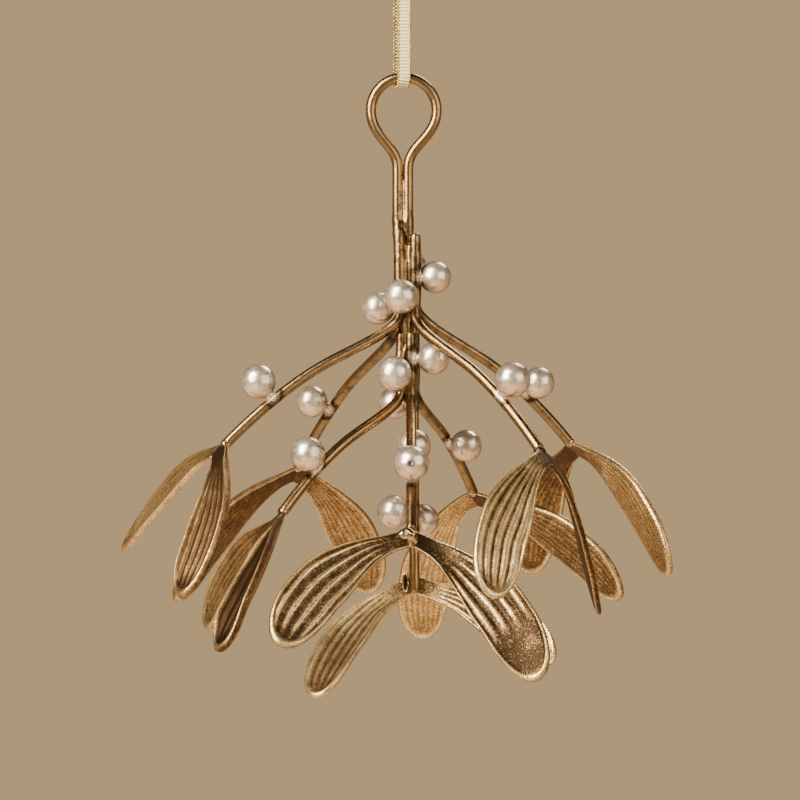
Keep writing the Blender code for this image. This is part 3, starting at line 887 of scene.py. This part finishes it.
def addLeafPair(name, hub, wireDirection, pair, seed):
    lines = leafLines(hub, wireDirection, pair)
    finishes = [{**leaf["finish"], **pair[key]} for key in ("leftFinish", "rightFinish")]
    frames = {}
    shape = bmesh.new()
    reliefLayer = shape.verts.layers.float_color.new("relief")
    toneLayer = shape.verts.layers.float_color.new("tone")
    for skin in (1, -1):
        grid = bmesh.ops.create_grid(shape, x_segments=2 * leaf["rows"], y_segments=leaf["columns"], size=1.0)
        for vertex in grid["verts"]:
            row = round(vertex.co.x, 5)
            if row not in frames:
                frames[row] = leafFrame(vertex.co.x, pair["size"], *lines)
            s, side, centre, face, sideways, width = frames[row]
            v = vertex.co.y * (1 - leaf["crowding"])  # columns crowd towards the rims
            v += math.sin(vertex.co.y * math.pi / 2) * leaf["crowding"]
            finish = finishes[side]
            lift, relief, tone = leafSkin(s, v, width, finish, skin, seed)
            cup = finish["cup"] * v ** 2 * width / leaf["bladeHalf"]
            cup *= smooth(s / leaf["cupping"]) * smooth((leaf["cupEnd"] - s) / leaf["cupping"])
            vertex.co = centre + sideways * v * width + face * (cup + skin * lift)
            vertex[reliefLayer] = relief
            vertex[toneLayer] = tone
    bmesh.ops.remove_doubles(shape, verts=shape.verts, dist=3 * weldGap)
    bmesh.ops.recalc_face_normals(shape, faces=shape.faces)
    roughen(shape, leaf["dents"], leaf["dentSize"], seed)
    keepPiece("leaves_" + name, shape, [leafGold], "foiled_gold_leaf", "leaf_pair_" + name)


hubs = {}
for seed, (name, pair) in enumerate(leafPairs.items()):
    end, direction = walkBack(routes[name], 0.0)
    if name == "centre":
        hub = end + Vector((0, wireStock["radius"] + wireStock["gap"] + leaf["thickness"] / 2, leaf["neckHalf"]))
    else:
        hub = end + direction * (leaf["neckHalf"] + wireStock["gap"])
    hubs[name] = (end, direction)
    addLeafPair(name, hub, direction, pair, 5.7 * seed)
print("leaves ready")


# solder beads where the wires meet the strips

bead = {  # each glob: its shift, half width and unevenness
    "usual": ((0, 0, 0), 1.27, 0.1), "half": 1.5, "drop": 0.2, "centreShift": (0, 0.7, 1.8), "bright": -0.25,
    "globs": {"lower_front": ((-0.9, -1.7, -1.7), 2.3, 0.4), "upper_front_right": ((0, 0, -0.6), 1.5, 0.1)},
    "dark": {"upper_front_right": 0.5},
}
beadShape = bmesh.new()
beadFinish = beadShape.verts.layers.float_color.new("finish")
for seed, (name, (end, direction)) in enumerate(hubs.items()):
    middle = end + (Vector(bead["centreShift"]) if name == "centre" else direction * bead["drop"])
    shift, wide, uneven = bead["globs"].get(name, bead["usual"])
    for vertex in bmesh.ops.create_icosphere(beadShape, subdivisions=4, radius=1.0)["verts"]:
        push = 1 + uneven * noise.fractal(vertex.co + Vector((seed * 3.1, 0, 0)), *globNoise)
        t = vertex.co.dot(direction)
        flat = vertex.co - direction * t
        vertex.co = middle + Vector(shift) + (flat * wide + direction * t * max(bead["half"], wide)) * push
        vertex[beadFinish] = (1, 0, bead["dark"].get(name, bead["bright"]), 1)

# a notch beside the centre wire, its shade painted on a dark flat disc, with a thin ring of solder round it
notch = {
    "place": (0.42, 1.75, -147.4), "half": (0.66, 2.2), "depth": 0.12, "dark": 1.2,
    "ring": 0.2, "ringDark": -0.5, "ringSteps": 48,
}
notchPlace = Vector(notch["place"])
acrossHalf, uprightHalf = notch["half"]
ringLine = []
for i in range(notch["ringSteps"] + 1):
    t = 2 * math.pi * i / notch["ringSteps"]
    ringLine.append(notchPlace + Vector((acrossHalf * math.cos(t), 0, uprightHalf * math.sin(t))))
for vertex in mergeInto(beadShape, roundTube(ringLine, notch["ring"], 2)):
    vertex[beadFinish] = (0, 0, notch["ringDark"], 1)
# painted shade: a dark flat disc stands in for the shade inside the notch
for vertex in bmesh.ops.create_icosphere(beadShape, subdivisions=3, radius=1.0)["verts"]:
    x, y, z = vertex.co
    vertex.co = notchPlace + Vector((x * acrossHalf, y * notch["depth"], z * uprightHalf))
    vertex[beadFinish] = (0, 0, notch["dark"], 1)
keepPiece("hub_solder", beadShape, [wireGold], "foiled_gold_wire")
print("solder ready")


# berries

berry = {  # the collar's profile: how far out along the berry's stalk, how far from the stalk
    # peach: a painted reflection of the warm surroundings on each berry's underside and its collar
    "uneven": 0.05, "unevenSize": 2.6, "columns": 48, "rows": 32, "peach": 0.8, "peachFrom": 0.15,
    "collar": ((0.7, 1.1), (1.15, 1.25), (1.4, 1.1), (1.7, 1.25), (2.2, 1.7), (2.5, 1.6)), "collarPeach": 0.4,
    # holeDark and holeReach: painted shade in and round the drilled hole
    "holes": {"lower_front": (267, 1)}, "holeDepth": 0.5, "holeDark": 1.6, "holeReach": 1.3,
}


def addBerry(name, foot, along, outward, radius, seed):
    shape = bmesh.new()
    bmesh.ops.create_uvsphere(shape, u_segments=berry["columns"], v_segments=berry["rows"], radius=radius)
    roughen(shape, berry["uneven"], berry["unevenSize"], seed)
    shade = shape.verts.layers.float_color.new("shade")
    hole = None
    if name in berry["holes"]:
        hole = max(shape.verts, key=lambda v: v.co.z)
        hole.co.z -= berry["holeDepth"]
        turned = zAxis.rotation_difference(compass(*berry["holes"][name])).to_matrix()
        bmesh.ops.rotate(shape, verts=shape.verts, matrix=turned)
    for vertex in shape.verts:
        # painted reflection: peach grows towards the underside
        paintedBounce = berry["peach"] * smooth((berry["peachFrom"] * radius - vertex.co.z) / radius)
        # painted shade round the drilled hole, fading outwards
        darkSpot = max(0.0, 1.0 - (vertex.co - hole.co).length / berry["holeReach"]) if hole else 0.0
        vertex[shade] = (paintedBounce, min(1.0, berry["holeDark"] * darkSpot), 0, 1)
    centre = foot + outward * (radius + wireStock["radius"] + wireStock["gap"])
    bmesh.ops.translate(shape, verts=shape.verts, vec=centre)
    # collar of glue and paint between the wire and the berry
    side = along.cross(outward).normalized()
    profile = [shape.verts.new(foot + outward * out + side * reach) for out, reach in berry["collar"]]
    for vertex in profile:
        # painted reflection: the collar tinted peach too
        vertex[shade] = (berry["collarPeach"], 0, 0, 1)
    edges = [shape.edges.new(pair) for pair in zip(profile, profile[1:])]
    bmesh.ops.spin(shape, geom=profile + edges, cent=foot, axis=outward, angle=2 * math.pi, steps=24, use_merge=True)
    bmesh.ops.recalc_face_normals(shape, faces=shape.faces)
    keepPiece("berry_" + name, shape, [pearlPaint], "pearl_paint", "pearl_" + name)


for seed, (name, seat) in enumerate(berrySeats.items()):
    addBerry(name, *seat, 4.7 * seed)
print("berries ready")


# floor, room and light

board = {"radius": 1.4, "height": -0.36, "tint": "#d2c6b4", "fade": (0.35, 1.0), "glow": (0.2, 1.1), "rough": 0.9}
roomLight = {
    "strength": 0.85, "turn": (-0.5, 0.5),  # the tint turns from before to behind between these headings
    "behind": ((0.0, "#cfae80"), (0.14, "#cfae80"), (0.4, "#4b433a"), (1.0, "#2c2925")),
    "before": ((0.0, "#b7a68f"), (0.14, "#a3968a"), (0.4, "#4b4742"), (1.0, "#2c2a28")),
}


def turnBehind(tree, direction):
    # 0 before the ornament, 1 behind it
    y = addNode(tree, "ShaderNodeSeparateXYZ", {0: direction}).outputs["Y"]
    return addRange(tree, y, roomLight["turn"], kind="SMOOTHSTEP")


def addFloor():
    shape = bmesh.new()
    bmesh.ops.create_circle(shape, cap_ends=True, segments=96, radius=board["radius"])
    bmesh.ops.translate(shape, verts=shape.verts, vec=(0, 0, board["height"]))
    mesh = bpy.data.meshes.new("floor")
    shape.to_mesh(mesh)
    shape.free()
    material, tree, shader = newMaterial("paleBoard")  # matt board that melts into the room far away
    place = objectPlace(tree)
    away = addNode(tree, "ShaderNodeVectorMath", {0: place}, operation="LENGTH").outputs["Value"]
    heading = addNode(tree, "ShaderNodeVectorMath", {0: place}, operation="NORMALIZE").outputs[0]
    near, far = board["fade"]
    feed(tree, shader, {
        "Base Color": addRamp(tree, away, (near, board["tint"]), (far, "#000000")),
        "Roughness": board["rough"],
        "Emission Color": addMix(tree, turnBehind(tree, heading), roomLight["before"][0][1], roomLight["behind"][0][1]),
        "Emission Strength": addRange(tree, away, board["glow"], (0, roomLight["strength"])),
    })
    mesh.materials.append(material)
    sheet = bpy.data.objects.new("floor", mesh)
    bpy.context.collection.objects.link(sheet)
    return sheet


def addRoom():
    # a tan wall all round, darker overhead
    room = bpy.data.worlds.new("room")
    room.use_nodes = True
    tree = room.node_tree
    direction = addNode(tree, "ShaderNodeTexCoord").outputs["Generated"]
    up = addNode(tree, "ShaderNodeSeparateXYZ", {0: direction}).outputs["Z"]
    tint = addMix(tree, turnBehind(tree, direction), addRamp(tree, up, *roomLight["before"]),
                  addRamp(tree, up, *roomLight["behind"]))
    feed(tree, tree.nodes["Background"], {"Color": tint, "Strength": roomLight["strength"]})
    bpy.context.scene.world = room


floor = addFloor()
addRoom()

lamps = {  # azimuth, elevation, distance, width, height, watts, colour
    "key": (225, 30, 0.8, 0.4, 0.75, 30, "#fff4e6"),
    "fill": (318, 16, 0.9, 0.8, 0.7, 6, "#fff1e0"),
    "back": (60, 45, 0.9, 0.4, 0.3, 5, "#ffedd8"),
}
aim = Vector((0, 0, -0.11))
for name, (azimuth, elevation, distance, width, height, watts, colour) in lamps.items():
    lamp = bpy.data.lights.new(name, "AREA")
    lamp.shape = "RECTANGLE"
    lamp.size, lamp.size_y = width, height
    lamp.energy = watts
    lamp.color = linearColour(colour)[:3]
    stand = bpy.data.objects.new(name, lamp)
    stand.location = aim + compass(azimuth, elevation) * distance
    stand.rotation_euler = (aim - stand.location).to_track_quat("-Z", "Y").to_euler()
    bpy.context.collection.objects.link(stand)
print("floor, room and light ready")
